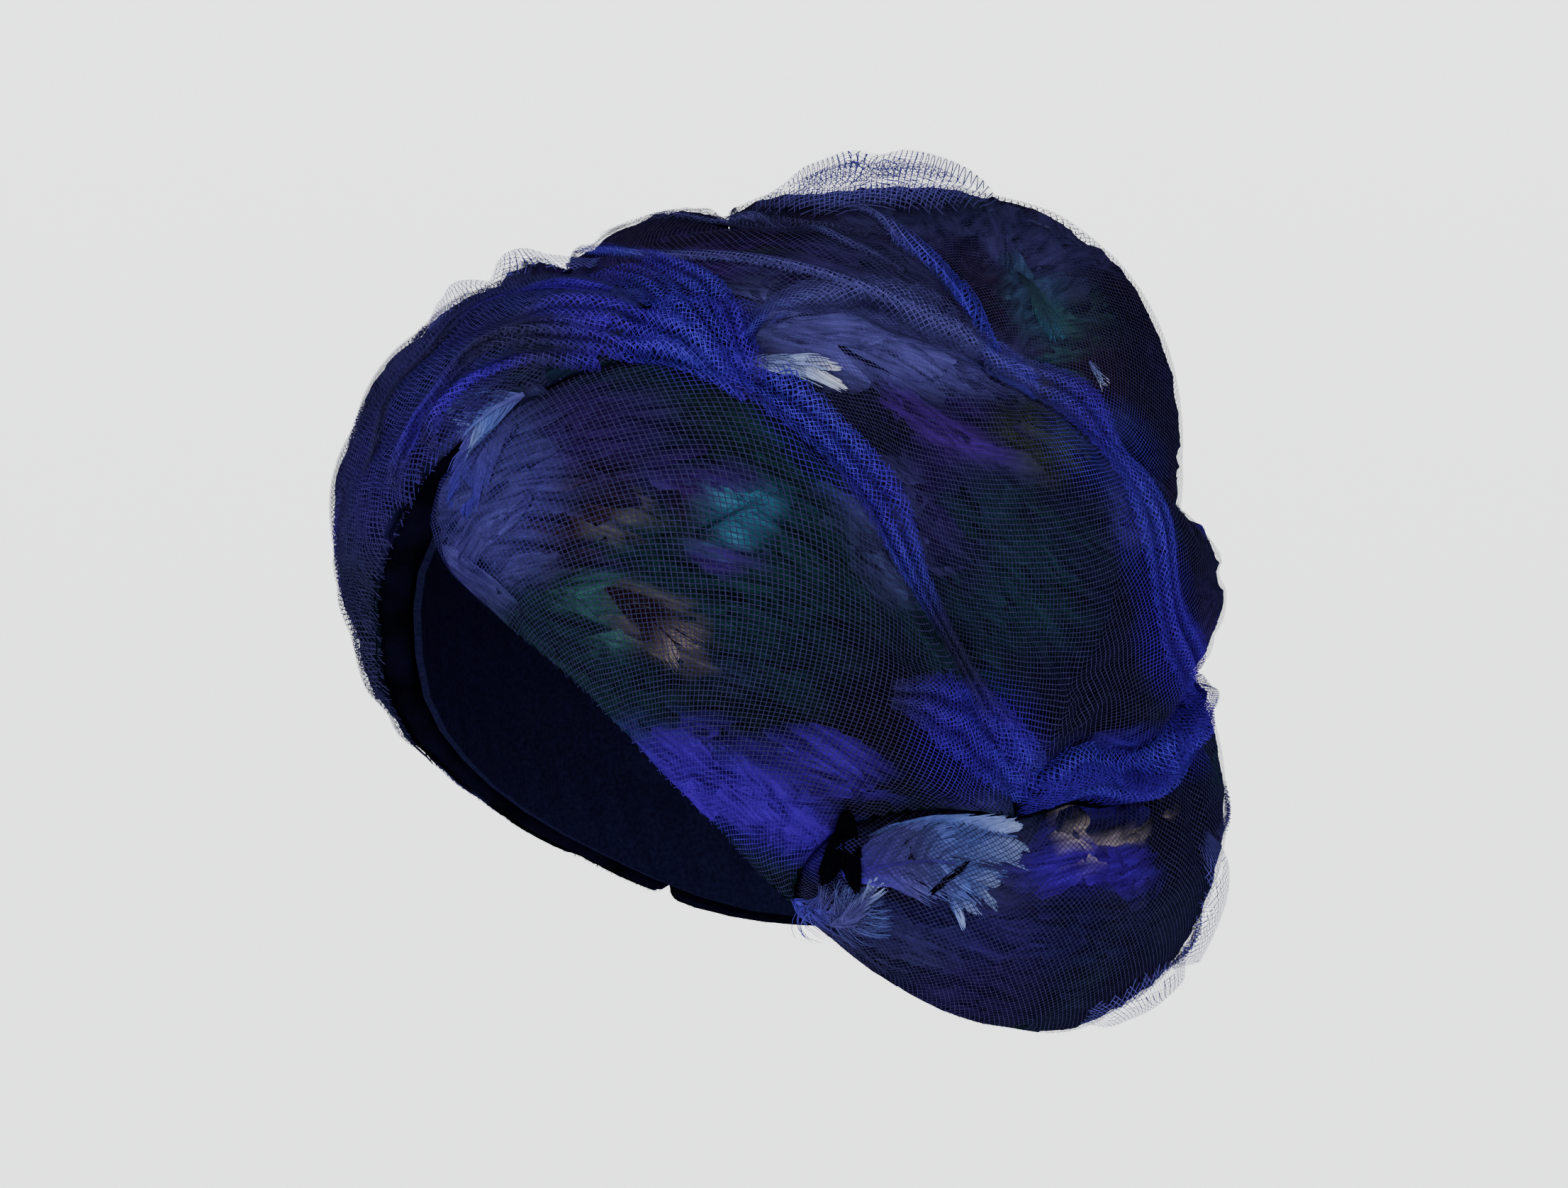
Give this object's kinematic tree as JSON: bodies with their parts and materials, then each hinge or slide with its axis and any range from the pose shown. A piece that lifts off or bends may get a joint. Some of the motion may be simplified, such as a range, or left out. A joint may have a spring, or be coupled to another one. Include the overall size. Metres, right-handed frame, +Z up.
{
  "type": "feather hat",
  "caption": "Turban-style hat of padded, feather-covered folds under fine net, gathered at a side knot, with a soft pouf at the nape and a hollow that fits a head.",
  "frame": {"origin": "on the head's own axis, level with the brow, where the hat sits on a head", "axes": "+Z up as worn, the wearer looks along -Y, and the wearer's left is +X"},
  "size_m": [0.2021, 0.2363, 0.2228],
  "materials": {
    "foundation": "matt stiffened net",
    "blue_black_feathers": "soft sheen, dark feathers under blue net",
    "green_black_feathers": "near-black feathers with a green and teal lustre, under net",
    "blue_green_feathers": "feathers with a blue and olive lustre, under net",
    "pouf_feathers": "loose dark feathers under blue net",
    "royal_net": "gathered royal blue net",
    "sheer_net": "single layer of sheer blue net",
    "pale_feathers": "light blue feathers with white tips",
    "ribbon": "ribbed navy ribbon"
  },
  "bodies": {
    "root": {"head_cap": "foundation", "front_fold": "blue_black_feathers", "left_side_panel": "green_black_feathers", "back_sweep_band": "blue_green_feathers", "upper_band": "blue_black_feathers", "crown_dome": "green_black_feathers", "right_side_band": "blue_black_feathers", "nape_pouf": "pouf_feathers", "pouf_ruffle": "royal_net", "gathered_knot": "royal_net", "crown_net_puff": "sheer_net", "ear_feathers": "pale_feathers", "back_loop": "ribbon"}
  },
  "joints": []
}
